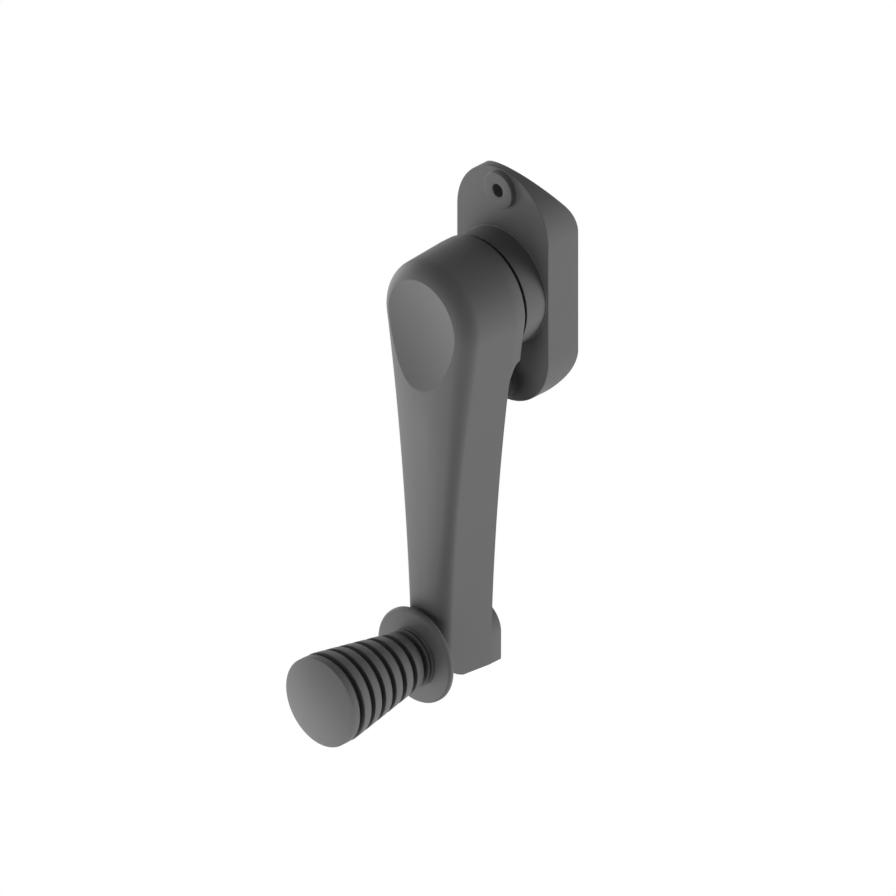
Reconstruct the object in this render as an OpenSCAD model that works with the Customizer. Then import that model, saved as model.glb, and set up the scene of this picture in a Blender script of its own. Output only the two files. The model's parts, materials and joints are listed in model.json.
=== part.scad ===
// Hand crank for a winding clothesline: wall plate, tapered arm and turning grip.
// Millimetres. The crank's axis meets the wall at the origin, -Y points out to the user, +Z is up.
// Every module below is drawn face up, with X across, Y up the wall and Z out of it.

/* [Wall plate] */
// Half the plate's width, and the radius of its ends
plate_half_w = 17.75; // [16.5:0.05:18.5]
// Half the plate's height
plate_half_h = 36.39; // [35.9:0.01:42]
// Thickness of the plate
plate_t = 11.9; // [10:0.1:14]
// Wall thickness where the plate is cored out
plate_wall = 2.6; // [2:0.1:3.5]
// Slope of the relieved ends at the back
relief_slope = 0.77; // [0.5:0.01:0.9]
// Height at which the relief line would meet the wall
relief_h = 23.6; // [22.5:0.1:25]
// Radius that blends the back into the relief
relief_blend_r = 15; // [8:0.5:16]

/* [Screw bosses] */
// Distance between the two screws
screw_spacing = 60.7; // [58:0.1:66]
// Radius of a screw boss
boss_r = 5.5; // [4.5:0.1:6]
// Height of a screw boss above the plate
boss_h = 1.9; // [1:0.1:3]
// Radius of a screw hole
screw_hole_r = 2; // [1.6:0.1:2.4]

/* [Bearing] */
// Height of the collar above the plate
collar_h = 7.55; // [6:0.05:9]
// How far the collar is set in from the plate's sides
collar_set_in = 0.55; // [0:0.05:1]
// Radius of the bore that holds the bushes
bush_bore_r = 9.5; // [9:0.1:10.5]
// Radius of the spindle's journal
journal_r = 7.5; // [7:0.1:8]
// Radius of the bush flanges
bush_flange_r = 12; // [11.5:0.1:12.5]
// Thickness of the bush flanges
bush_flange_t = 1.5; // [1:0.1:2]
// Length of a bush's sleeve
bush_sleeve = 5; // [4:0.1:5.5]
// Depth of the recess behind
rear_recess = 4.8; // [4.6:0.1:5.4]
// Gap between collar and hub
hub_gap = 1.2; // [0.95:0.05:1.5]

/* [Spindle] */
// Width of the square socket for the winder
socket_w = 8; // [6:0.1:9]
// Depth of the square socket
socket_depth = 12; // [8:0.5:13]
// Width of the square nose
nose_w = 10; // [9:0.1:10.5]
// Length of the square nose
nose_len = 12.7; // [11:0.1:13]

/* [Crank arm] */
// Distance from the crank's axis to the grip's axis
throw = 105; // [95:0.5:115]
// Half the arm's width at its narrowest
waist_half_w = 7.8; // [7.6:0.02:8.3]
// How far the hub stands out beyond the plate's sides
hub_over = 0.1; // [0:0.02:0.4]
// Radius of the arm's long curved sides
side_r = 800; // [500:10:900]
// Distance of the arm's back from the wall
arm_back = 24.2; // [24:0.1:26]
// Height below the axis at which the hub's rear starts to ramp
ramp_drop = 14.8; // [13:0.1:16]
// Length of the ramp from the hub's rear to the arm's back
ramp_len = 11; // [8:0.5:14]
// Where the front edge rounding starts on the arm, from the wall
edge_start = 38.2; // [37.5:0.1:39]
// Front edge rounding of the arm
edge_r = 5.4; // [4:0.1:6.2]
// Where the front edge rounding starts on the hub
hub_edge_start = 37.4; // [37:0.1:38.2]
// Front edge rounding of the hub
hub_edge_r = 6.7; // [5:0.1:7.2]
// Rounding of the arm's front towards its end face
end_round_r = 12; // [8:0.5:14]
// Radius of the crowned front
crown_r = 22; // [18:0.5:60]
// Largest rise of the crown
crown_rise = 1.7; // [0.5:0.1:2.5]
// Draft of the sides, millimetres per millimetre
draft = 0.053; // [0.02:0.001:0.08]
// Distance of the rear boss from the wall
boss_back = 20.1; // [20:0.1:22]
// Distance from the grip's axis to the arm's end
end_drop = 8.4; // [7.8:0.1:8.6]
// Radius of the dish across the hub
dish_across_r = 58.8; // [50:0.2:64]
// Radius of the dish along the arm
dish_along_r = 65.6; // [60:0.2:90]
// Distance of the dish's floor from the wall
dish_floor = 42.3; // [41.8:0.1:43]
// Distance of the dish's centre below the crank's axis
dish_drop = 3.6; // [2:0.1:5]
// Lean of the dish, its lower rim further out
dish_tilt = 2.9; // [0:0.1:4]

/* [Grip] */
// Radius of the flange
flange_r = 14.2; // [13:0.05:15]
// Distance of the flange's rear from the wall
flange_back = 45; // [44.9:0.1:45.5]
// Thickness of the flange
flange_t = 1.6; // [1.2:0.1:2.5]
// Rounding of the flange's edges
flange_edge_r = 0.5; // [0.2:0.05:0.6]
// Radius of the neck ring
neck_r = 8.6; // [8.2:0.1:9.5]
// Radius of the grip at its first groove
grip_r0 = 8.5; // [8:0.1:9]
// Radius of the grip at its end
grip_r1 = 13.25; // [12:0.05:14]
// Length of the cap's side, from the last groove to the rim
cap_t = 2.9; // [2.4:0.1:4]
// Distance of the first groove from the wall
groove_first = 50.5; // [50:0.1:51]
// Distance from groove to groove
groove_pitch = 5; // [4.8:0.05:5.1]
// Width of a groove
groove_w = 1.9; // [1.4:0.1:2.4]
// Depth of a groove
groove_depth = 2; // [1:0.1:2.3]
// Rise of the domed end
dome_h = 2.6; // [1:0.1:3.2]

/* [Grip bearing] */
// Radius of the bolt's shank
bolt_r = 3; // [2.5:0.1:3.2]
// Radius of the axle sleeve
sleeve_r = 4.5; // [4.2:0.1:5]

/* [Hidden] */
$fn = 96;

eps = 0.5;
press_gap = 0.05;
run_gap = 0.06;
face_gap = 0.1;
groove_count = 7;

// Plate
plate_side_h = plate_half_h - plate_half_w;
relief_angle = atan(relief_slope);
blend_len = relief_blend_r * tan(relief_angle / 2);
collar_top = plate_t + collar_h;
boss_top = plate_t + boss_h;
screw_h = screw_spacing / 2;
screw_post_r = boss_r - 0.5;
rib_w = 2.4;
rib_set_in = 1;
core_floor = 3;
collar_r = plate_half_w - collar_set_in;
hub_wall_r = collar_r - 0.5;
rear_recess_r = bush_flange_r + 0.6;
front_recess_r = bush_flange_r + press_gap;

// Shaft
bush_id_r = journal_r + run_gap;
bush_od_r = bush_bore_r - press_gap;
rear_sleeve_end = rear_recess + bush_sleeve;
front_sleeve_start = collar_top - bush_flange_t - bush_sleeve - 0.6;
spindle_back = 0.4;
clip_groove_r = journal_r - 0.9;
clip_back = 0.95;
clip_t = 1.1;
clip_r = 10;
clip_slot_w = 8;
rear_washer_t = 1;
rear_washer_back = rear_recess - bush_flange_t - face_gap - rear_washer_t;
thrust_washer_t = 0.8;
seal_r = 0.95;
seal_ring_r = journal_r + seal_r + 0.02;
seal_at = (rear_sleeve_end + front_sleeve_start) / 2;
head_bore_r = 3.9;
hub_web = 4;
hub_screw_r = 2;
hub_screw_hole_r = 2.15;
hub_screw_head_r = 3.5;
hub_screw_head_t = 2.4;
hub_screw_key = 2.6;
hub_screw_key_depth = 1.3;
lock_washer_t = 0.8;

// Hub
hub_r = plate_half_w + hub_over;
hub_back = collar_top + hub_gap;
web_back = hub_back - hub_web;
hub_head_back = web_back - lock_washer_t - hub_screw_head_t;
nose_end = hub_back - face_gap + nose_len;
insert_r = 10;
insert_end = hub_back + nose_len + 0.6;
screw_insert_r = 3;
screw_insert_back = insert_end + 0.5;
screw_insert_len = 5.8;
screw_insert_end = screw_insert_back + screw_insert_len;
hub_screw_tip = screw_insert_end - 1;

// Arm outline
end_boss_r = 7.9;
set_in = 0.05;
side_centre_x = waist_half_w + side_r;
side_centre_y = sqrt(pow(side_r + hub_r, 2) - pow(side_centre_x, 2));
touch_angle = asin(side_centre_y / (side_r + hub_r));
arm_end_y = -throw - end_drop;
pad_r = 7.2;
pad_front = flange_back - 0.75;
hub_steps = 22;
side_steps = 24;
blend_steps = 8;
ramp_steps = 10;
round_steps = 5;
crown_steps = 3;
crown_reach = 0.8;

// Knob
cap_back = groove_first + (groove_count - 1) * groove_pitch;
cap_spigot_len = 2;
grip_end = cap_back + cap_t;
grip_cone_end = cap_back - 1.8;
neck_t = 0.9;
knob_washer_t = 0.6;
knob_washer_r = 7;
nut_washer_t = 1.2;
nut_washer_r = 6.9;
nut_af = 10;
nut_t = 6;
nut_bore_r = 7.6;
bolt_over = 0.8;
bolt_end = cap_back - cap_spigot_len - 0.5;
sleeve_end = bolt_end - bolt_over - nut_t - nut_washer_t;
nut_bore_back = sleeve_end - face_gap;
bolt_head_af = 10;
bolt_head_t = 4;
plug_t = 1.8;
plug_r = 6.4;
bolt_head_front = boss_back + plug_t + face_gap + bolt_head_t;
grip_bore_r = sleeve_r + run_gap;
cap_spigot_r = nut_bore_r - press_gap;

module facing_out() {
    rotate([90, 0, 0]) children();
}

module at_height(h) {
    translate([0, h, 0]) children();
}

module tube(outer, inner, from, to) {
    translate([0, 0, from]) difference() {
        cylinder(r = outer, h = to - from);
        translate([0, 0, -eps]) cylinder(r = inner, h = to - from + 2 * eps);
    }
}

module rod(radius, from, to) {
    translate([0, 0, from]) cylinder(r = radius, h = to - from);
}

module square_bar(width, from, to) {
    translate([-width / 2, -width / 2, from]) cube([width, width, to - from]);
}

module hex_bar(across_flats, from, to) {
    translate([0, 0, from]) cylinder(r = across_flats / 2 / cos(30), h = to - from, $fn = 6);
}

// The plate's outline, drawn in by a margin
module plate_outline(margin) {
    for (side = [-1, 1])
        translate([0, side * plate_side_h]) circle(r = plate_half_w - margin);
    translate([margin - plate_half_w, -plate_side_h])
        square([2 * (plate_half_w - margin), 2 * plate_side_h]);
}

// The back's relief seen from the side: height against distance from the wall
module relief_side() {
    far = plate_half_h + plate_half_w;
    start = relief_h - blend_len;
    difference() {
        polygon([
            [start, -eps], [far, -eps], [far, (far - relief_h) * relief_slope],
            [relief_h + blend_len * cos(relief_angle), blend_len * sin(relief_angle)],
            [start, 0]
        ]);
        translate([start, relief_blend_r]) circle(r = relief_blend_r);
    }
}

module relief_cut() {
    rotate([90, 0, 90])
        translate([0, 0, -plate_half_w - eps])
            linear_extrude(height = 2 * plate_half_w + 2 * eps) {
                relief_side();
                mirror([1, 0]) relief_side();
            }
}

// What is cored out of the plate from behind, between the bearing and a screw
module core_cut() {
    difference() {
        translate([0, 0, -eps])
            linear_extrude(height = plate_t - core_floor + eps) difference() {
                plate_outline(plate_wall);
                circle(r = hub_wall_r);
                for (side = [-1, 1])
                    translate([0, side * screw_h]) circle(r = screw_post_r);
            }
        translate([-rib_w / 2, -plate_half_h, rib_set_in])
            cube([rib_w, 2 * plate_half_h, plate_t]);
    }
}

module wall_plate() {
    color("dimgray") facing_out() difference() {
        union() {
            linear_extrude(height = plate_t) plate_outline(0);
            cylinder(r = collar_r, h = collar_top);
            for (side = [-1, 1])
                at_height(side * screw_h) cylinder(r = boss_r, h = boss_top);
        }
        relief_cut();
        core_cut();
        rod(rear_recess_r, -eps, rear_recess);
        rod(bush_bore_r, 0, collar_top + eps);
        rod(front_recess_r, collar_top - bush_flange_t, collar_top + eps);
        for (side = [-1, 1])
            at_height(side * screw_h) rod(screw_hole_r, -eps, boss_top + eps);
    }
}

module rear_bush() {
    color("gainsboro") facing_out() difference() {
        union() {
            rod(bush_flange_r, rear_recess - bush_flange_t, rear_recess);
            rod(bush_od_r, rear_recess - eps, rear_sleeve_end);
        }
        rod(bush_id_r, 0, rear_sleeve_end + eps);
    }
}

module front_bush() {
    color("gainsboro") facing_out() difference() {
        union() {
            rod(bush_flange_r, collar_top - bush_flange_t, collar_top);
            rod(bush_od_r, front_sleeve_start, collar_top - bush_flange_t + eps);
        }
        rod(bush_id_r, front_sleeve_start - eps, collar_top + eps);
    }
}

module shaft_seal() {
    color("black") facing_out()
        translate([0, 0, seal_at]) rotate_extrude() translate([seal_ring_r, 0]) circle(r = seal_r);
}

module drive_spindle() {
    color("silver") facing_out() difference() {
        union() {
            rod(journal_r, spindle_back, hub_back - face_gap);
            square_bar(nose_w, hub_back - face_gap - eps, nose_end);
        }
        square_bar(socket_w, spindle_back - eps, spindle_back + socket_depth);
        rod(head_bore_r, spindle_back + socket_depth - eps, web_back);
        rod(hub_screw_hole_r, web_back - eps, nose_end + eps);
        tube(journal_r + eps, clip_groove_r, clip_back, clip_back + clip_t + 0.1);
    }
}

module spindle_clip() {
    color("silver") facing_out() difference() {
        rod(clip_r, clip_back + press_gap, clip_back + press_gap + clip_t);
        rod(clip_groove_r + press_gap, 0, clip_back + clip_t + eps);
        translate([-clip_slot_w / 2, -clip_r - eps, 0]) cube([clip_slot_w, clip_r + eps, clip_back + clip_t + eps]);
    }
}

module rear_washer() {
    color("silver") facing_out()
        tube(bush_flange_r - 1, journal_r + 0.2, rear_washer_back, rear_washer_back + rear_washer_t);
}

module thrust_washer() {
    color("ivory") facing_out()
        tube(bush_flange_r, journal_r + 0.2, collar_top + press_gap, collar_top + press_gap + thrust_washer_t);
}

// Arm outline. One side of it runs from the top of the hub to the corner of the arm's end,
// drawn in by a margin: first the hub's arc, then the long curved side.
function end_lean(margin) = asin((side_centre_y + arm_end_y + margin) / (side_r + margin));

function edge_point(i, margin) =
    i <= hub_steps
    ? let (a = 90 - (90 + touch_angle) * i / hub_steps)
        [(hub_r - margin) * cos(a), (hub_r - margin) * sin(a)]
    : let (b = touch_angle + (end_lean(margin) - touch_angle) * (i - hub_steps) / side_steps)
        [side_centre_x - (side_r + margin) * cos(b), (side_r + margin) * sin(b) - side_centre_y];

// 0 on the hub, 1 on the arm
function arm_share(i) = min(1, max(0, (i - hub_steps) / blend_steps));

function round_r(i) = hub_edge_r + (edge_r - hub_edge_r) * arm_share(i);

function round_start(i) = hub_edge_start + (edge_start - hub_edge_start) * arm_share(i);

function drafted(i) = draft * (round_start(i) - arm_back);

// Distance from a point of the outline to the arm's middle line, at the level of the front rounding
function half_span(i) = (i <= hub_steps ? hub_r : edge_point(i, 0)[0]) - drafted(i);

function crown_span(i) =
    let (b = half_span(i) - round_r(i))
    max(crown_r - round_r(i), (b * b + crown_rise * crown_rise) / (2 * crown_rise));

function crown_lean(i) = asin((half_span(i) - round_r(i)) / crown_span(i));

// A level is [margin, distance from the wall] for a point of the outline
function round_level(i, share) =
    let (a = (90 - crown_lean(i)) * share)
    [drafted(i) + round_r(i) * (1 - cos(a)), round_start(i) + round_r(i) * sin(a)];

function crown_level(i, share) =
    let (a = crown_lean(i) * (1 - share), r = crown_span(i) + round_r(i))
    [
        drafted(i) + half_span(i) - r * sin(a),
        round_start(i) + r * cos(a) - crown_span(i) * cos(crown_lean(i))
    ];

function level(i, k) =
    k == 0 ? [0, arm_back]
    : k <= round_steps + 1 ? round_level(i, (k - 1) / round_steps)
    : crown_level(i, crown_reach * (k - round_steps - 1) / crown_steps);

function arm_point(i, k, side) =
    let (l = level(i, k), p = edge_point(i, l[0]))
    [side * p[0], p[1], l[1]];

level_count = 2 + round_steps + crown_steps;
edge_count = hub_steps + side_steps;
ring_size = 2 * edge_count + 1;

function ring_point(j, k) =
    j <= edge_count ? arm_point(j, k, 1) : arm_point(ring_size - j, k, -1);

arm_points = [for (k = [0 : level_count - 1]) for (j = [0 : ring_size - 1]) ring_point(j, k)];

function next_of(j) = (j + 1) % ring_size;

function wall_faces() = [
    for (k = [0 : level_count - 2])
        for (j = [0 : ring_size - 1])
            for (half = [0, 1])
                let (a = k * ring_size + j, b = k * ring_size + next_of(j))
                half == 0 ? [b, a + ring_size, a] : [b + ring_size, a + ring_size, b]
];

function front_face(j) =
    let (top = (level_count - 1) * ring_size)
    j == 0
    ? [top + 1, top + ring_size - 1, top]
    : [top + j + 1, top + ring_size - j - 1, top + ring_size - j, top + j];

arm_faces = concat(
    wall_faces(),
    [for (j = [0 : edge_count - 1]) front_face(j)],
    [[for (j = [0 : ring_size - 1]) ring_size - 1 - j]]
);

module arm_body() {
    polyhedron(points = arm_points, faces = arm_faces, convexity = 4);
}

function outline_point(j) =
    j <= edge_count
    ? edge_point(j, set_in)
    : let (p = edge_point(ring_size - j, set_in)) [-p[0], p[1]];

module arm_outline() {
    polygon([for (j = [0 : ring_size - 1]) outline_point(j)]);
}

// The ramp that leads from the hub's rear to the arm's back, by share of its length
function ramp_point(share) =
    [-ramp_drop - ramp_len * share, arm_back - (arm_back - hub_back) * (1 - sqrt(1 - pow(1 - share, 2)))];

// The hub's rear seen from the side: height against distance from the wall
module rear_side() {
    polygon(concat(
        [[2 * hub_r, arm_back + eps], [2 * hub_r, hub_back]],
        [for (n = [0 : ramp_steps]) ramp_point(pow(n / ramp_steps, 2))],
        [[-ramp_drop - ramp_len, arm_back + eps]]
    ));
}

module hub_rear() {
    intersection() {
        translate([0, 0, hub_back]) linear_extrude(height = arm_back - hub_back + eps) arm_outline();
        rotate([90, 0, 90]) translate([0, 0, -hub_r]) linear_extrude(height = 2 * hub_r) rear_side();
    }
}

module end_boss() {
    translate([0, 0, boss_back]) linear_extrude(height = arm_back - boss_back + eps)
        intersection() {
            arm_outline();
            union() {
                at_height(-throw) circle(r = end_boss_r);
                translate([-end_boss_r, arm_end_y - eps])
                    square([2 * end_boss_r, -throw - arm_end_y + eps]);
            }
        }
}

// What rounds the arm's front off towards its end face, seen from the side
module end_round_cut() {
    centre_h = arm_end_y + end_round_r;
    centre_t = edge_start + edge_r - end_round_r;
    rotate([90, 0, 90]) translate([0, 0, -hub_r]) linear_extrude(height = 2 * hub_r)
        difference() {
            translate([arm_end_y - eps, centre_t]) square([end_round_r + eps, end_round_r + crown_rise]);
            translate([centre_h, centre_t]) circle(r = end_round_r);
        }
}

// The barrel whose belly presses the dish into the hub
module dish_cut() {
    reach = dish_along_r / 2;
    translate([0, -dish_drop, dish_floor]) rotate([-dish_tilt, 0, 0])
        translate([0, 0, dish_across_r]) rotate([-90, 0, 0])
            rotate_extrude($fn = 180) intersection() {
                translate([dish_across_r - dish_along_r, 0]) circle(r = dish_along_r);
                translate([0, -reach]) square([dish_across_r + eps, 2 * reach]);
            }
}

module crank_arm() {
    color("dimgray") facing_out() difference() {
        union() {
            difference() {
                arm_body();
                end_round_cut();
            }
            hub_rear();
            end_boss();
            at_height(-throw) rod(pad_r, arm_back + eps, pad_front);
        }
        dish_cut();
        rod(insert_r + press_gap, hub_back - eps, insert_end + press_gap);
        rod(hub_screw_hole_r, insert_end, screw_insert_back + eps);
        rod(screw_insert_r + press_gap, screw_insert_back, screw_insert_end + press_gap);
        at_height(-throw) {
            rod(plug_r + press_gap, boss_back - eps, boss_back + plug_t);
            hex_bar(bolt_head_af + 2 * face_gap, boss_back + plug_t - eps, bolt_head_front);
            rod(bolt_r + face_gap, bolt_head_front - eps, pad_front + eps);
        }
    }
}

module hub_insert() {
    color("silver") facing_out() difference() {
        rod(insert_r, hub_back, insert_end);
        square_bar(nose_w + 2 * press_gap, hub_back - eps, insert_end + eps);
    }
}

module lock_washer() {
    color("silver") facing_out()
        tube(hub_screw_head_r, hub_screw_hole_r, web_back - lock_washer_t, web_back);
}

module hub_screw() {
    color("silver") facing_out() difference() {
        union() {
            rod(hub_screw_head_r, hub_head_back, hub_head_back + hub_screw_head_t);
            rod(hub_screw_r, hub_head_back + eps, hub_screw_tip);
        }
        hex_bar(hub_screw_key, hub_head_back - eps, hub_head_back + hub_screw_key_depth);
    }
}

module screw_insert() {
    color("goldenrod") facing_out()
        tube(screw_insert_r, hub_screw_r + press_gap, screw_insert_back, screw_insert_end);
}

module knob_bolt() {
    color("silver") facing_out() at_height(-throw) {
        hex_bar(bolt_head_af, bolt_head_front - bolt_head_t, bolt_head_front);
        rod(bolt_r, bolt_head_front - eps, bolt_end);
    }
}

module boss_plug() {
    color("dimgray") facing_out() at_height(-throw)
        rod(plug_r, boss_back, boss_back + plug_t);
}

module axle_sleeve() {
    color("silver") facing_out() at_height(-throw)
        tube(sleeve_r, bolt_r + press_gap, pad_front, sleeve_end);
}

module knob_washer() {
    color("ivory") facing_out() at_height(-throw)
        tube(knob_washer_r, sleeve_r + press_gap, pad_front + press_gap, pad_front + press_gap + knob_washer_t);
}

module nut_washer() {
    color("silver") facing_out() at_height(-throw)
        tube(nut_washer_r, bolt_r + face_gap, sleeve_end, sleeve_end + nut_washer_t);
}

module knob_nut() {
    color("silver") facing_out() at_height(-throw) difference() {
        hex_bar(nut_af, sleeve_end + nut_washer_t, sleeve_end + nut_washer_t + nut_t);
        rod(bolt_r + press_gap, sleeve_end, sleeve_end + nut_washer_t + nut_t + eps);
    }
}

module flange_side() {
    inner_r = flange_r - flange_edge_r;
    square([inner_r, flange_t]);
    translate([0, flange_edge_r]) square([flange_r, flange_t - 2 * flange_edge_r]);
    for (level = [flange_edge_r, flange_t - flange_edge_r])
        translate([inner_r, level]) circle(r = flange_edge_r);
}

module grip_side() {
    translate([0, flange_back]) flange_side();
    translate([0, flange_back]) square([neck_r, flange_t + neck_t]);
    polygon([
        [0, flange_back], [grip_r0, flange_back], [grip_r0, groove_first],
        [grip_r1, grip_cone_end], [grip_r1, cap_back], [0, cap_back]
    ]);
}

// Radius of the grip at a distance from the wall
function grip_r(t) =
    grip_r0 + (grip_r1 - grip_r0) * min(1, (t - groove_first) / (grip_cone_end - groove_first));

module groove_cut(t) {
    translate([grip_r(t) - groove_depth, t - groove_w / 2]) square([groove_depth + eps, groove_w]);
}

module knob_grip() {
    color("dimgray") facing_out() at_height(-throw) rotate_extrude() difference() {
        grip_side();
        for (n = [0 : groove_count - 1]) groove_cut(groove_first + n * groove_pitch);
        translate([0, flange_back - eps]) square([grip_bore_r, cap_back]);
        translate([0, nut_bore_back]) square([nut_bore_r, cap_back]);
    }
}

module end_cap() {
    groove_floor = grip_r1 - groove_depth;
    dome_r = (pow(grip_r1, 2) + pow(dome_h, 2)) / (2 * dome_h);
    color("dimgray") facing_out() at_height(-throw) rotate_extrude() {
        translate([0, cap_back - cap_spigot_len]) square([cap_spigot_r, cap_spigot_len + groove_w]);
        translate([0, cap_back]) square([groove_floor, groove_w]);
        translate([0, cap_back + groove_w / 2]) square([grip_r1, grip_end - cap_back - groove_w / 2]);
        intersection() {
            translate([0, grip_end + dome_h - dome_r]) circle(r = dome_r, $fn = 180);
            translate([0, grip_end - eps]) square([grip_r1, dome_h + 2 * eps]);
        }
    }
}

wall_plate();
rear_bush();
front_bush();
shaft_seal();
drive_spindle();
spindle_clip();
rear_washer();
thrust_washer();
crank_arm();
hub_insert();
hub_screw();
lock_washer();
screw_insert();
knob_bolt();
boss_plug();
axle_sleeve();
knob_washer();
nut_washer();
knob_nut();
knob_grip();
end_cap();
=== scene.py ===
import math
import bpy
import bmesh
import numpy as np
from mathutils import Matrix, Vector
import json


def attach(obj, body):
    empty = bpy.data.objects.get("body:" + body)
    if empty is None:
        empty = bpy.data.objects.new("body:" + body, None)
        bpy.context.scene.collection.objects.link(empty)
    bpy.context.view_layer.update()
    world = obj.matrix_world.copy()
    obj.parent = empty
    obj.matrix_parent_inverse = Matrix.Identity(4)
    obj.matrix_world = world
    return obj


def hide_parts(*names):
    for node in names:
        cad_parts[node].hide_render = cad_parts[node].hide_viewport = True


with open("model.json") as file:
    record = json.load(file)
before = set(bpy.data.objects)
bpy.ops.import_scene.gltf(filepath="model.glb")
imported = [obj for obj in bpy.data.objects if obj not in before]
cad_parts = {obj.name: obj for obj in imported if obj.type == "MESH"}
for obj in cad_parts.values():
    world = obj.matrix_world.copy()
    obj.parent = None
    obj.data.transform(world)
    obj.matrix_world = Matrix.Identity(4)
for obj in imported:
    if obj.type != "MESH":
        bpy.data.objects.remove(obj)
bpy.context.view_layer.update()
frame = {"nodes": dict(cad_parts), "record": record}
nodes = frame["nodes"]

# Lengths are in millimetres, from the crank's axis in the plane of the wall.
MM = 0.001
THROW = 105.0
SMOOTH_BELOW = 32
FINE_SMOOTH_BELOW = 24


def point(x, h, t):
    """x across, h up the wall, t out from the wall."""
    return (x * MM, -t * MM, h * MM)


def smooth(obj, angle=SMOOTH_BELOW):
    """Smooth shading across every edge that turns by less than the angle, in degrees."""
    mesh = obj.data
    mesh.polygons.foreach_set("use_smooth", [True] * len(mesh.polygons))
    bm = bmesh.new()
    bm.from_mesh(mesh)
    limit = math.radians(angle)
    for e in bm.edges:
        e.smooth = len(e.link_faces) == 2 and e.calc_face_angle(0.0) < limit
    bm.to_mesh(mesh)
    bm.free()


def new_object(name, verts, faces, smooth_angle=SMOOTH_BELOW):
    mesh = bpy.data.meshes.new(name)
    mesh.from_pydata([tuple(v) for v in verts], [], faces)
    mesh.validate()
    obj = bpy.data.objects.new(name, mesh)
    bpy.context.scene.collection.objects.link(obj)
    bm = bmesh.new()
    bm.from_mesh(mesh)
    bmesh.ops.recalc_face_normals(bm, faces=bm.faces)
    bm.to_mesh(mesh)
    bm.free()
    smooth(obj, smooth_angle)
    return obj


def apply_modifiers(obj):
    bpy.context.view_layer.update()
    graph = bpy.context.evaluated_depsgraph_get()
    mesh = bpy.data.meshes.new_from_object(obj.evaluated_get(graph))
    obj.modifiers.clear()
    old = obj.data
    obj.data = mesh
    bpy.data.meshes.remove(old)


def cut_with(obj, cutter, angle=SMOOTH_BELOW):
    mod = obj.modifiers.new("cut", "BOOLEAN")
    mod.operation = "DIFFERENCE"
    mod.solver = "EXACT"
    mod.object = cutter
    apply_modifiers(obj)
    bpy.data.objects.remove(cutter)
    smooth(obj, angle)


def join(objs, name):
    bm = bmesh.new()
    for o in objs:
        bm.from_mesh(o.data)
    mesh = bpy.data.meshes.new(name)
    bm.to_mesh(mesh)
    bm.free()
    for o in objs:
        bpy.data.objects.remove(o)
    obj = bpy.data.objects.new(name, mesh)
    bpy.context.scene.collection.objects.link(obj)
    return obj


def rounded(corners, steps=5):
    """Corners are (r, t, radius); each one with a radius becomes an arc."""
    out = []
    n = len(corners)
    for i, (r, t, rad) in enumerate(corners):
        p = np.array([r, t], float)
        if rad <= 0:
            out.append(tuple(p))
            continue
        a = np.array(corners[i - 1][:2], float) - p
        b = np.array(corners[(i + 1) % n][:2], float) - p
        la, lb = np.linalg.norm(a), np.linalg.norm(b)
        a, b = a / la, b / lb
        angle = math.acos(max(-1, min(1, float(a @ b))))
        cut = min(rad / math.tan(angle / 2), 0.49 * la, 0.49 * lb)
        rad = cut * math.tan(angle / 2)
        mid = a + b
        centre = p + mid / np.linalg.norm(mid) * (rad / math.sin(angle / 2))
        u, v = p + a * cut - centre, p + b * cut - centre
        full = math.atan2(u[0] * v[1] - u[1] * v[0], u @ v)
        for k in range(steps + 1):
            c, s = math.cos(full * k / steps), math.sin(full * k / steps)
            out.append((centre[0] + c * u[0] - s * u[1], centre[1] + s * u[0] + c * u[1]))
    return out


def lathe(name, corners, height=0.0, segments=160):
    """A closed profile of (r, t, radius) corners, turned about the axis at this height."""
    verts, faces, rows = [], [], []
    for r, t in rounded(corners):
        if r < 1e-6:
            rows.append([len(verts)] * segments)
            verts.append(point(0, height, t))
            continue
        rows.append(list(range(len(verts), len(verts) + segments)))
        for k in range(segments):
            a = 2 * math.pi * k / segments
            verts.append(point(r * math.cos(a), height + r * math.sin(a), t))
    for i in range(len(rows)):
        one, two = rows[i], rows[(i + 1) % len(rows)]
        for k in range(segments):
            m = (k + 1) % segments
            face = [one[k], one[m], two[m], two[k]]
            face = [v for j, v in enumerate(face) if v != face[j - 1]]
            if len(set(face)) >= 3:
                faces.append(face)
    return new_object(name, verts, faces)


def rod(radius, back, front, height=0.0, segments=96):
    corners = [(0, back, 0), (radius, back, 0), (radius, front, 0), (0, front, 0)]
    return lathe("rod", corners, height, segments)


def slab(name, side, half):
    """A tool with one (h, t) outline, reaching this far to both sides."""
    m = len(side)
    verts = [point(x, h, t) for x in (-half, half) for h, t in side]
    faces = [list(range(m)), list(range(m, 2 * m))]
    faces += [[j, (j + 1) % m, (j + 1) % m + m, j + m] for j in range(m)]
    return new_object(name, verts, faces)


def inset_loop(loop, inset):
    """The loop of (x, h) points moved inwards, square to its sides."""
    out = []
    n = len(loop)
    for i in range(n):
        p, q, r = (np.array(loop[(i + d) % n]) for d in (-1, 0, 1))
        u, v = (q - p) / np.linalg.norm(q - p), (r - q) / np.linalg.norm(r - q)
        mean = u + v
        mean = mean / np.linalg.norm(mean)
        out.append(q + np.array([-mean[1], mean[0]]) * inset / max(0.4, float(mean @ u)))
    return out


def prism(name, loop, edge):
    """A block on a counter-clockwise loop; edge rows are (inset, distance from the wall)."""
    verts, faces = [], []
    m = len(loop)
    for inset, t in edge:
        for x, h in inset_loop(loop, inset) if inset else loop:
            verts.append(point(x, h, t))
    faces.append(list(range(m)))
    for k in range(len(edge) - 1):
        for j in range(m):
            a, b = k * m + j, k * m + (j + 1) % m
            faces.append([a, b, b + m, a + m])
    faces.append([(len(edge) - 1) * m + j for j in range(m)])
    return new_object(name, verts, faces)


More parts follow.
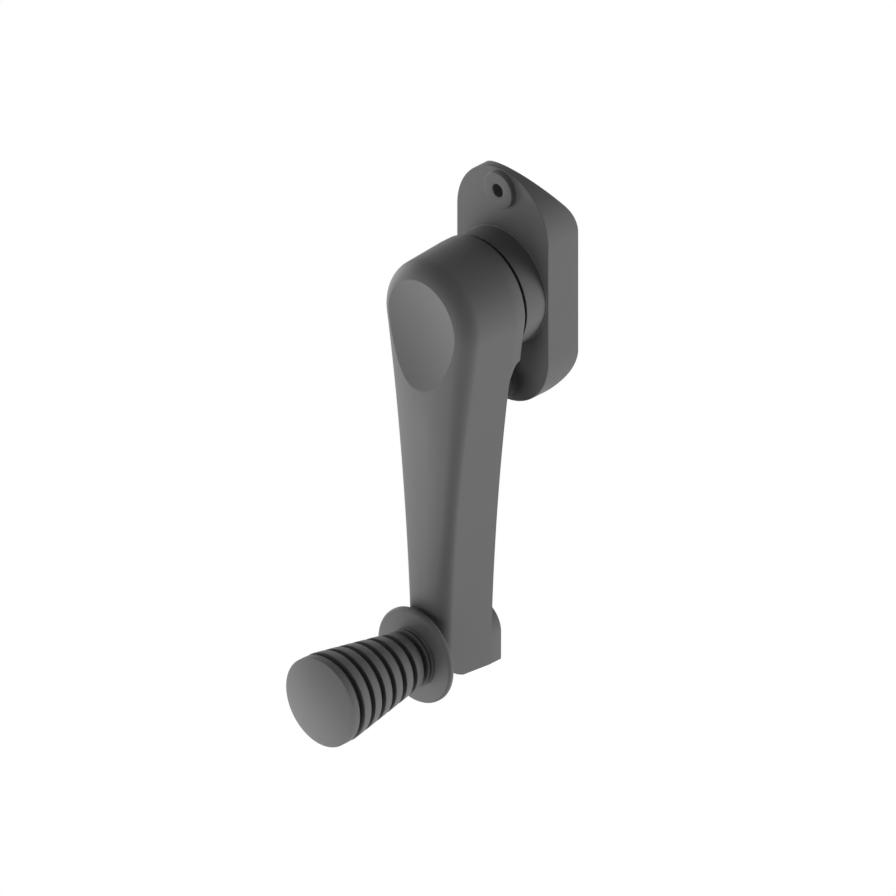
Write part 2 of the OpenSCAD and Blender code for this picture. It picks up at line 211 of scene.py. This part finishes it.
def arc_edge(back, radius, steps=5):
    """Edge rows of a rounded rear edge, from the rear face out to the side."""
    rows = []
    for k in range(steps + 1):
        a = math.pi / 2 * k / steps
        rows.append((radius * (1 - math.sin(a)), back + radius * (1 - math.cos(a))))
    return rows


# Crank arm: the CAD arm's rules in finer steps, with some sizes a fraction of a millimetre nearer the photo
HUB_R, WAIST, SIDE_R = 17.85, 7.62, 800.0
HUB_BACK, BACK, BOSS_BACK = 20.65, 24.2, 19.9
EDGE_START, EDGE_R = 38.8, 4.0
HUB_START, HUB_EDGE_R, END_ROUND_R = 37.4, 6.7, 12.0
CROWN_R, CROWN_RISE, DRAFT = 22.0, 1.7, 0.053
END_Y = -THROW - 8.6
CX = WAIST + SIDE_R
CY = math.sqrt((SIDE_R + HUB_R) ** 2 - CX ** 2)
TOUCH = math.asin(CY / (SIDE_R + HUB_R))
HUB_N, SIDE_N, ROUND_N, CROWN_N = 64, 96, 14, 14
BLEND_N = 54
# The crown's last ring lies at this share of the way to the middle line
CROWN_SHARE = 0.985
# How deep the rear forms reach into the arm
SINK = 0.4
REAR_BOSS_R, REAR_BOSS_FOOT, REAR_BOSS_EDGE = 7.72, 7.67, 0.35
RAMP_DROP, RAMP_LEN = 14.8, 11.0
HUB_REAR_INSET, HUB_REAR_EDGE = 0.02, 0.4
PAD_R, PAD_BACK, PAD_FRONT, PAD_EDGE = 7.2, 40, 44.25, 0.2


def edge_point(i, margin):
    """Point i of the arm's right outline, moved inwards by the margin."""
    if i <= HUB_N:
        a = math.pi / 2 - (math.pi / 2 + TOUCH) * i / HUB_N
        return (HUB_R - margin) * math.cos(a), (HUB_R - margin) * math.sin(a)
    end = math.asin((CY + END_Y + margin) / (SIDE_R + margin))
    b = TOUCH + (end - TOUCH) * (i - HUB_N) / SIDE_N
    return CX - (SIDE_R + margin) * math.cos(b), (SIDE_R + margin) * math.sin(b) - CY


def eased(share):
    share = min(1.0, max(0.0, share))
    return share * share * (3 - 2 * share)


def level(i, k):
    """Margin and distance from the wall of ring k at outline point i: wall, rounded edge, crown."""
    if k == 0:
        return 0.0, BACK
    on_arm = eased((i - HUB_N) / BLEND_N)
    rho = HUB_EDGE_R + (EDGE_R - HUB_EDGE_R) * on_arm
    start = HUB_START + (EDGE_START - HUB_START) * on_arm
    drafted = DRAFT * (start - BACK)
    span = (HUB_R if i <= HUB_N else edge_point(i, 0)[0]) - drafted
    b = span - rho
    q = max(CROWN_R - rho, (b * b + CROWN_RISE ** 2) / (2 * CROWN_RISE))
    lean = math.asin(b / q)
    if k <= ROUND_N + 1:
        a = (math.pi / 2 - lean) * (k - 1) / ROUND_N
        return drafted + rho * (1 - math.cos(a)), start + rho * math.sin(a)
    share = CROWN_SHARE * (k - ROUND_N - 1) / CROWN_N
    a, r = lean * (1 - share), q + rho
    return drafted + span - r * math.sin(a), start + r * math.cos(a) - q * math.cos(lean)


def arm_shell():
    count = HUB_N + SIDE_N
    ring = 2 * count + 1
    levels = 2 + ROUND_N + CROWN_N
    verts = []
    for k in range(levels):
        for j in range(ring):
            i, side = (j, 1) if j <= count else (ring - j, -1)
            margin, t = level(i, k)
            x, y = edge_point(i, margin)
            verts.append(point(side * x, y, t))
    faces = [list(range(ring))]
    for k in range(levels - 1):
        for j in range(ring):
            a, b = k * ring + j, k * ring + (j + 1) % ring
            faces.append([b, a, a + ring, b + ring])
    top = (levels - 1) * ring
    faces.append([top, top + ring - 1, top + 1])
    for j in range(1, count):
        faces.append([top + j, top + ring - j, top + ring - j - 1, top + j + 1])
    return new_object("arm_shell", verts, faces, 40)


def dish_tool():
    """A block whose underside is curved by one radius across and another along, tilted a little."""
    across, along, drop, floor_t, tilt = 58.8, 65.6, 3.6, 42.3, math.radians(2.9)
    steps, reach, spread, tool_top = 90, 32.0, 0.5, 25.0
    w = steps + 1
    under = []
    for j in range(w):
        h = -reach + 2 * reach * j / steps
        rad = across - along + math.sqrt(along ** 2 - h ** 2)
        for k in range(w):
            a = -spread + 2 * spread * k / steps
            under.append((rad * math.sin(a), h, across - rad * math.cos(a)))
    back = len(under)
    c, s = math.cos(tilt), math.sin(tilt)
    verts = [point(x, -drop + c * h + s * z, floor_t - s * h + c * z)
             for x, h, z in under + [(x, h, tool_top) for x, h, _ in under]]
    faces = []
    for j in range(steps):
        for k in range(steps):
            a = j * w + k
            faces.append([a, a + 1, a + w + 1, a + w])
            faces.append([back + a, back + a + w, back + a + w + 1, back + a + 1])
    for j in range(steps):
        for k in (0, steps):
            a = j * w + k
            faces.append([a, a + w, back + a + w, back + a])
    for k in range(steps):
        for j in (0, steps):
            a = j * w + k
            faces.append([a, back + a, back + a + 1, a + 1])
    return new_object("dish_tool", verts, faces)


def end_round_tool():
    """What rounds the arm's front off towards its end face."""
    half, steps, below, above = 12.0, 32, 1, 2
    centre_h, centre_t = END_Y + END_ROUND_R, EDGE_START + EDGE_R - END_ROUND_R
    front = centre_t + END_ROUND_R + above
    side = [(END_Y - below, centre_t), (END_Y - below, front), (centre_h, front)]
    for k in range(steps + 1):
        a = math.pi / 2 * k / steps
        side.append((centre_h - END_ROUND_R * math.sin(a), centre_t + END_ROUND_R * math.cos(a)))
    return slab("end_round_tool", side, half)


def rear_boss():
    n = 48
    loop = []
    for k in range(n + 1):
        a = math.pi * k / n
        loop.append((REAR_BOSS_R * math.cos(a), -THROW + REAR_BOSS_R * math.sin(a)))
    loop += [(-REAR_BOSS_FOOT, END_Y), (REAR_BOSS_FOOT, END_Y)]
    return prism("rear_boss", loop, arc_edge(BOSS_BACK, REAR_BOSS_EDGE) + [(0.0, BACK + SINK)])


def hub_rear():
    """The hub's rear: level behind the hub, then a ramp down to the arm's back."""
    ramp_n, clear, below_arm = 24, 0.05, 0.3
    rows = [edge_point(i, HUB_REAR_INSET) for i in range(1, HUB_N + SIDE_N + 1)]
    rows = [p for p in rows if p[1] > clear - RAMP_DROP]
    for k in range(ramp_n + 1):
        h = -RAMP_DROP - RAMP_LEN * (k / ramp_n) ** 2
        rows.append((CX - math.sqrt((SIDE_R + HUB_REAR_INSET) ** 2 - (h + CY) ** 2), h))
    edge = arc_edge(0.0, HUB_REAR_EDGE)
    verts, faces = [], []

    def level_at(h):
        s = max(0.0, min(1.0, (-RAMP_DROP - h) / RAMP_LEN))
        return BACK - (BACK - HUB_BACK) * (1 - math.sqrt(max(0.0, 1 - (1 - s) ** 2)))

    def line(sgn, x, h):
        """The points at one place of the outline, from the rear face over its edge into the arm."""
        first, back = len(verts), level_at(h)
        for inset, dt in edge:
            if h > -RAMP_DROP:
                f = 1 - inset / math.hypot(x, h)
                verts.append(point(sgn * x * f, h * f, back + dt))
            else:
                verts.append(point(sgn * (x - inset), h, min(BACK + below_arm, back + dt)))
        verts.append(point(sgn * x, h, BACK + SINK))
        return list(range(first, len(verts)))

    apex = line(1, 0.0, HUB_R - HUB_REAR_INSET)
    right_side, left_side = ([apex] + [line(sgn, x, h) for x, h in rows] for sgn in (1, -1))
    for chain in (right_side, left_side):
        for a, b in zip(chain, chain[1:]):
            for k in range(len(edge)):
                faces.append([a[k], b[k], b[k + 1], a[k + 1]])
    for a, b, c, d in zip(right_side, right_side[1:], left_side, left_side[1:]):
        for k in (0, -1):
            face = [a[k], b[k], d[k], c[k]]
            faces.append(face[:3] if face[0] == face[3] else face)
    faces.append(right_side[-1] + left_side[-1][::-1])
    return new_object("hub_rear", verts, faces)


def arm_pad():
    """The low round pad that the grip's flange turns against."""
    corners = [(0, PAD_BACK, 0), (PAD_R, PAD_BACK, 0), (PAD_R, PAD_FRONT, PAD_EDGE), (0, PAD_FRONT, 0)]
    return lathe("pad", corners, height=-THROW, segments=96)


arm = arm_shell()
cut_with(arm, dish_tool(), FINE_SMOOTH_BELOW)
cut_with(arm, end_round_tool(), FINE_SMOOTH_BELOW)
arm = join([arm, hub_rear(), rear_boss(), arm_pad()], "arm_moulding")
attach(arm, "crank")
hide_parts("crank_arm")

# Wall plate
PLATE_W, PLATE_H, PLATE_T, COLLAR_R, COLLAR_TOP = 17.85, 36.39, 11.9, 17.2, 19.45
SCREW_H, SCREW_R, BOSS_R, BOSS_TOP = 30.35, 2.0, 5.5, 13.8
RELIEF_SLOPE, RELIEF_H, RELIEF_R = 0.77, 23.6, 15.0
BEARING_R, REAR_RECESS_R, REAR_RECESS_T = 9.5, 12.6, 4.8
WALL, CORE_T = 2.6, 8.9
RIB_HALF, RIB_BACK, RIB_REACH = 1.2, 1.0, 40.0
FRONT_EDGE, REAR_EDGE = 0.25, 0.08
RIM_R, RIM_DEPTH, RIM_SLOPE = 16.85, 1.5, 0.35
# The core reaches in under the collar and the bosses by this much
CORE_OVERLAP = 0.5
# Where the tools that cut from behind start, and where those that cut through end
TOOL_BACK, TOOL_FRONT = -1, 20


def stadium(radius, side_h, n=64):
    loop = []
    for sgn in (1, -1):
        for k in range(n + 1):
            a = math.pi * k / n
            loop.append((sgn * radius * math.cos(a), sgn * (side_h + radius * math.sin(a))))
    return loop


def relief_tool(sgn):
    """What slopes the plate's back away from the wall, towards its top or its bottom."""
    steps, far, half, overlap = 28, 60.0, 19.0, 0.01
    angle = math.atan(RELIEF_SLOPE)
    start = RELIEF_H - RELIEF_R * math.tan(angle / 2)
    side = [(start - overlap, TOOL_BACK), (far, TOOL_BACK), (far, (far - RELIEF_H) * RELIEF_SLOPE)]
    for k in range(steps, -1, -1):
        a = angle * k / steps
        side.append((start + RELIEF_R * math.sin(a), RELIEF_R * (1 - math.cos(a))))
    return slab("relief_tool", [(sgn * h, t) for h, t in side], half)


def core_tool():
    """What hollows the plate from behind, round the collar, the bosses and one upright rib."""
    back, front = 2 * TOOL_BACK, 10
    tool = prism("core_tool", stadium(PLATE_W - WALL, PLATE_H - PLATE_W), [(0, TOOL_BACK), (0, CORE_T)])
    cut_with(tool, rod(COLLAR_R - CORE_OVERLAP, back, front))
    for sgn in (1, -1):
        cut_with(tool, rod(BOSS_R - CORE_OVERLAP, back, front, sgn * SCREW_H))
    rib = [(-RIB_HALF, -RIB_REACH), (RIB_HALF, -RIB_REACH), (RIB_HALF, RIB_REACH), (-RIB_HALF, RIB_REACH)]
    cut_with(tool, prism("rib", rib, [(0, RIB_BACK), (0, front)]))
    return tool


def plate_body():
    side_t, steps = 5.0, 5
    edge = arc_edge(0.0, REAR_EDGE, 2) + [(0.0, side_t)]
    for k in range(steps + 1):
        a = math.pi / 2 * k / steps
        edge.append((FRONT_EDGE * (1 - math.cos(a)), PLATE_T - FRONT_EDGE * (1 - math.sin(a))))
    body = prism("plate_body", stadium(PLATE_W, PLATE_H - PLATE_W), edge)
    for sgn in (1, -1):
        cut_with(body, relief_tool(sgn))
    cut_with(body, core_tool())
    cut_with(body, rod(REAR_RECESS_R, TOOL_BACK, REAR_RECESS_T))
    cut_with(body, rod(BEARING_R, TOOL_BACK, TOOL_FRONT))
    for sgn in (1, -1):
        cut_with(body, rod(SCREW_R, TOOL_BACK, TOOL_FRONT, sgn * SCREW_H, 64))
    smooth(body, FINE_SMOOTH_BELOW)
    return body


def raised(name, inner, radius, low, top, edge, foot, height=0.0, recess=None):
    """A ring standing on the plate, with a rounded front edge and a small hollow fillet at its foot.

    recess is the rim's inner radius and the distance from the wall of the recessed floor inside it."""
    steps, inner_edge, rim_edge = 5, 0.15, 0.05
    profile = [(inner, low, 0)]
    if recess:
        rim_r, floor_t = recess
        profile += [(inner, floor_t, 0), (rim_r - RIM_SLOPE, floor_t, 0), (rim_r, top, rim_edge)]
    else:
        profile += [(inner, top, inner_edge)]
    profile += [(radius, top, edge)]
    for k in range(steps + 1):
        a = math.pi / 2 * k / steps
        profile.append((radius + foot * (1 - math.cos(a)), PLATE_T + foot * (1 - math.sin(a)), 0))
    profile += [(radius + foot, low, 0)]
    return lathe(name, profile, height, 192)


def weighted(obj):
    """Flat faces keep their flat shading beside the narrow roundings."""
    mod = obj.modifiers.new("weighted", "WEIGHTED_NORMAL")
    mod.keep_sharp = True
    mod.weight = 80


# How far down into the plate the collar and the bosses reach
COLLAR_LOW, BOSS_LOW = 9.2, 11.2
body = plate_body()
collar = raised("collar", BEARING_R, COLLAR_R, COLLAR_LOW, COLLAR_TOP, edge=0.1, foot=0.14,
                recess=(RIM_R, COLLAR_TOP - RIM_DEPTH))
bosses = [raised("boss", SCREW_R, BOSS_R, BOSS_LOW, BOSS_TOP, 0.3, 0.25, sgn * SCREW_H) for sgn in (1, -1)]
plate = join([body, collar] + bosses, "plate_moulding")
weighted(plate)
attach(plate, "base")
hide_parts("wall_plate")

# Grip and its cap
GROOVES, PITCH, FIRST, GROOVE_W, GROOVE_D = 7, 4.94, 50.27, 1.95, 2.0
RIB_EDGE, FLOOR_EDGE = 0.12, 0.1
SMALL_R, LARGE_R, LARGE_T = 8.5, 13.25, 78.7
BORE_R, FLANGE_R, FLANGE_BACK, FLANGE_FRONT = 4.56, 14.2, 45.0, 46.85
RING_R, NECK_R, NECK_FLOOR_R = 8.75, 8.6, 8.0
POCKET_R, POCKET_T, GRIP_END = 7.6, 69.9, 80.45
PLUG_R, PLUG_BACK, CAP_BACK, CAP_EDGE_T, DOME_RISE = 7.55, 78.5, 80.5, 83.4, 2.6


def grip_r(t):
    return SMALL_R + (LARGE_R - SMALL_R) * min(1, (t - FIRST) / (LARGE_T - FIRST))


corners = [(BORE_R, FLANGE_BACK, 0), (FLANGE_R, FLANGE_BACK, 0.4), (FLANGE_R, FLANGE_FRONT, 1.0),
           (RING_R, FLANGE_FRONT, 0.15), (RING_R, 48.05, 0.2),
           (NECK_FLOOR_R, 48.1, 0.1), (NECK_FLOOR_R, 48.55, 0.1), (NECK_R, 48.6, 0.15)]
for n in range(GROOVES):
    mid = FIRST + n * PITCH
    a, b = mid - GROOVE_W / 2, mid + GROOVE_W / 2
    floor_r = grip_r(mid) - GROOVE_D
    corners += [(grip_r(a) if n else NECK_R, a, RIB_EDGE), (floor_r, a, FLOOR_EDGE)]
    if n < GROOVES - 1:
        corners += [(floor_r, b, FLOOR_EDGE), (grip_r(b), b, RIB_EDGE)]
corners += [(floor_r, GRIP_END, 0), (POCKET_R, GRIP_END, 0), (POCKET_R, POCKET_T, 0), (BORE_R, POCKET_T, 0)]
grip = lathe("grip_moulding", corners, height=-THROW, segments=192)
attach(grip, "knob")
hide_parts("knob_grip")

DOME_N = 24
rim_back = FIRST + (GROOVES - 1) * PITCH + GROOVE_W / 2
dome_r = (LARGE_R ** 2 + DOME_RISE ** 2) / (2 * DOME_RISE)
neck_r = LARGE_R - GROOVE_D
cap_corners = [(0, PLUG_BACK, 0), (PLUG_R, PLUG_BACK, 0), (PLUG_R, CAP_BACK, 0), (neck_r, CAP_BACK, 0),
               (neck_r, rim_back, FLOOR_EDGE), (LARGE_R, rim_back, RIB_EDGE), (LARGE_R, CAP_EDGE_T, 0.15)]
for k in range(1, DOME_N + 1):
    r = LARGE_R * math.sin(math.pi / 2 * (1 - k / DOME_N))
    cap_corners.append((r, CAP_EDGE_T + DOME_RISE - dome_r + math.sqrt(dome_r ** 2 - r ** 2), 0))
cap = lathe("cap_moulding", cap_corners, height=-THROW, segments=192)
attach(cap, "knob")
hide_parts("end_cap")


# Materials
def principled(name):
    mat = bpy.data.materials.new(name)
    mat.use_nodes = True
    tree = mat.node_tree
    return mat, tree, tree.nodes["Principled BSDF"]


def noise(tree, scale, detail):
    """Noise that is fixed to the object."""
    coord = tree.nodes.new("ShaderNodeTexCoord")
    node = tree.nodes.new("ShaderNodeTexNoise")
    node.inputs["Scale"].default_value = scale
    node.inputs["Detail"].default_value = detail
    tree.links.new(coord.outputs["Object"], node.inputs["Vector"])
    return node.outputs["Fac"]


def mapped(tree, source, low, high, source_low=0.0, source_high=1.0):
    """The source, spread so that source_low gives low and source_high gives high."""
    node = tree.nodes.new("ShaderNodeMapRange")
    node.inputs["From Min"].default_value = source_low
    node.inputs["From Max"].default_value = source_high
    node.inputs["To Min"].default_value = low
    node.inputs["To Max"].default_value = high
    tree.links.new(source, node.inputs["Value"])
    return node.outputs["Result"]


def calculated(tree, operation, sources, clamp=False):
    node = tree.nodes.new("ShaderNodeMath")
    node.operation = operation
    node.use_clamp = clamp
    for k, source in enumerate(sources):
        tree.links.new(source, node.inputs[k])
    return node.outputs[0]


def moulded_plastic(name, edges):
    """Dark moulded plastic with painted shade in its hollows; where edges is set, a painted highlight along
    the fine edges.
    """
    painted_shade_reach, edge_radius, samples = 0.0028, 0.00022, 8
    mat, tree, shader = principled(name)
    grain = noise(tree, 2600.0, 3.0)
    tint = mapped(tree, noise(tree, 45.0, 2.0), 0.147, 0.158)
    # Painted shade: ambient occlusion darkens the base colour in hollows, creases and the gaps between
    # parts
    hollow = tree.nodes.new("ShaderNodeAmbientOcclusion")
    hollow.samples = samples
    hollow.inputs["Distance"].default_value = painted_shade_reach
    openness = hollow.outputs["AO"]
    colour = calculated(tree, "MULTIPLY", [tint, mapped(tree, openness, 0.33, 1.0, 0.1, 0.6)])
    bump = tree.nodes.new("ShaderNodeBump")
    bump.inputs["Strength"].default_value = 0.06
    bump.inputs["Distance"].default_value = 0.00004
    tree.links.new(grain, bump.inputs["Height"])
    # Painted highlight: the base colour is lightened along fine edges, where the bevelled normal turns from
    # the surface's normal, but not in the deepest hollows
    if edges:
        bevel = tree.nodes.new("ShaderNodeBevel")
        bevel.samples = samples
        bevel.inputs["Radius"].default_value = edge_radius
        tree.links.new(bevel.outputs["Normal"], bump.inputs["Normal"])
        shape = tree.nodes.new("ShaderNodeNewGeometry")
        turn = tree.nodes.new("ShaderNodeVectorMath")
        turn.operation = "DOT_PRODUCT"
        tree.links.new(bevel.outputs["Normal"], turn.inputs[0])
        tree.links.new(shape.outputs["Normal"], turn.inputs[1])
        painted_edge_highlight = mapped(tree, turn.outputs["Value"], 0.0, 0.5, 0.98, 0.82)
        in_reach = mapped(tree, openness, 0.0, 1.0, 0.2, 0.4)
        colour = calculated(tree, "MULTIPLY_ADD", [painted_edge_highlight, in_reach, colour])
    tree.links.new(colour, shader.inputs["Base Color"])
    tree.links.new(mapped(tree, grain, 0.5, 0.6), shader.inputs["Roughness"])
    shader.inputs["Specular IOR Level"].default_value = 0.25
    tree.links.new(bump.outputs["Normal"], shader.inputs["Normal"])
    return mat


def plain(name, colour, rough, metal=0.0):
    """One colour, with a fine unevenness in its gloss."""
    mat, tree, shader = principled(name)
    uneven = mapped(tree, noise(tree, 900.0, 3.0), rough * 0.85, rough * 1.15)
    tree.links.new(uneven, shader.inputs["Roughness"])
    shader.inputs["Base Color"].default_value = (*colour, 1)
    shader.inputs["Metallic"].default_value = metal
    return mat


# The arm has no painted edge highlight, because its rear forms only meet it and the highlight would show a
# line there
materials = {
    "dark_moulding": moulded_plastic("dark_moulding", True),
    "dark_moulding_arm": moulded_plastic("dark_moulding_arm", False),
    "bush_plastic": plain("bush_plastic", (0.06, 0.06, 0.062), 0.5),
    "seal": plain("seal", (0.02, 0.02, 0.02), 0.5),
    "steel": plain("steel", (0.3, 0.3, 0.305), 0.5, 1.0),
    "brass": plain("brass", (0.45, 0.33, 0.14), 0.45, 1.0),
}
slots = {s["node"]: s["material_slot"] for s in frame["record"]["subparts"]}
for name, obj in nodes.items():
    obj.data.materials.clear()
    obj.data.materials.append(materials[slots[name]])
for obj in (plate, arm, grip, cap):
    obj.data.materials.clear()
    obj.data.materials.append(materials["dark_moulding_arm" if obj is arm else "dark_moulding"])

# Stage, in metres
FLOOR_HALF, FLOOR_Z = 4, -1.3
WORLD_STRENGTH = 0.106
floor_mesh = bpy.data.meshes.new("floor")
floor_corners = [(-FLOOR_HALF, -FLOOR_HALF, FLOOR_Z), (FLOOR_HALF, -FLOOR_HALF, FLOOR_Z),
                 (FLOOR_HALF, FLOOR_HALF, FLOOR_Z), (-FLOOR_HALF, FLOOR_HALF, FLOOR_Z)]
floor_mesh.from_pydata(floor_corners, [], [(0, 1, 2, 3)])
floor = bpy.data.objects.new("floor", floor_mesh)
bpy.context.scene.collection.objects.link(floor)


def sees_backdrop(tree):
    """1 for what the camera, a reflection or a transmitted ray sees directly, 0 for light on things."""
    path = tree.nodes.new("ShaderNodeLightPath")
    total = path.outputs["Is Camera Ray"]
    for kind in ("Is Glossy Ray", "Is Transmission Ray"):
        total = calculated(tree, "ADD", [total, path.outputs[kind]], clamp=True)
    return total


def backdrop_mix(tree, lit, white, output):
    """The lit shader for light that falls on things, the white one where sees_backdrop is 1."""
    mix = tree.nodes.new("ShaderNodeMixShader")
    tree.links.new(sees_backdrop(tree), mix.inputs["Fac"])
    tree.links.new(lit, mix.inputs[1])
    tree.links.new(white, mix.inputs[2])
    tree.links.new(mix.outputs["Shader"], tree.nodes[output].inputs["Surface"])


pale, tree, shade = principled("pale_floor")
shade.inputs["Base Color"].default_value = (0.85, 0.85, 0.85, 1)
shade.inputs["Roughness"].default_value = 0.9
glow = tree.nodes.new("ShaderNodeEmission")
glow.inputs["Strength"].default_value = 1.0
backdrop_mix(tree, shade.outputs["BSDF"], glow.outputs["Emission"], "Material Output")
floor_mesh.materials.append(pale)

world = bpy.data.worlds.new("studio")
bpy.context.scene.world = world
world.use_nodes = True
tree = world.node_tree
sky = tree.nodes["Background"]
sky.inputs["Color"].default_value = (1, 1, 1, 1)
sky.inputs["Strength"].default_value = WORLD_STRENGTH
white = tree.nodes.new("ShaderNodeBackground")
white.inputs["Color"].default_value = (1, 1, 1, 1)
backdrop_mix(tree, sky.outputs["Background"], white.outputs["Background"], "World Output")

LAMP_SIZE, LAMP_DISTANCE, LAMP_TARGET = 0.7, 0.9, (0.0, -0.04, -0.04)


def lamp(name, direction, power):
    """A round soft lamp in this direction from the part, turned to it."""
    data = bpy.data.lights.new(name, "AREA")
    data.shape = "DISK"
    data.size = LAMP_SIZE
    data.energy = power
    obj = bpy.data.objects.new(name, data)
    d = Vector(direction).normalized()
    obj.location = Vector(LAMP_TARGET) + d * LAMP_DISTANCE
    obj.rotation_euler = d.to_track_quat("Z", "Y").to_euler()
    bpy.context.scene.collection.objects.link(obj)


LAMPS = {
    "left": ((-1, 0, 0), 4.1),
    "left_low": ((-0.6, -0.6, -0.6), 3.2),
    "front": ((0, -1, 0), 2.3),
    "front_low": ((0, -0.7, -0.7), 2.06),
    "back_right": ((0.7, 0.7, 0), 3.4),
    "back_low": ((0.6, 0.6, -0.6), 2.5),
}
for name, (direction, power) in LAMPS.items():
    lamp(name, direction, power)

# Camera: a parallel view from azimuth 45 and elevation 30 degrees, placed in the photo's pixels
PIXEL, FRAME_PX = 0.000277, 896
MID_RIGHT_PX, MID_UP_PX = -84.8, -180.0
right = Vector((0.70711, 0.70711, 0.0))
up = Vector((-0.35355, 0.35355, 0.86603))
toward = Vector((0.61237, -0.61237, 0.5))
target = right * (MID_RIGHT_PX * PIXEL) + up * (MID_UP_PX * PIXEL)
cam_data = bpy.data.cameras.new("camera")
cam_data.type = "ORTHO"
cam_data.ortho_scale = FRAME_PX * PIXEL
cam_data.clip_end = 20.0
camera = bpy.data.objects.new("camera", cam_data)
camera.location = target + toward * 1.0
camera.rotation_euler = toward.to_track_quat("Z", "Y").to_euler()
bpy.context.scene.collection.objects.link(camera)
bpy.context.scene.camera = camera
bpy.context.scene.view_settings.view_transform = "Standard"
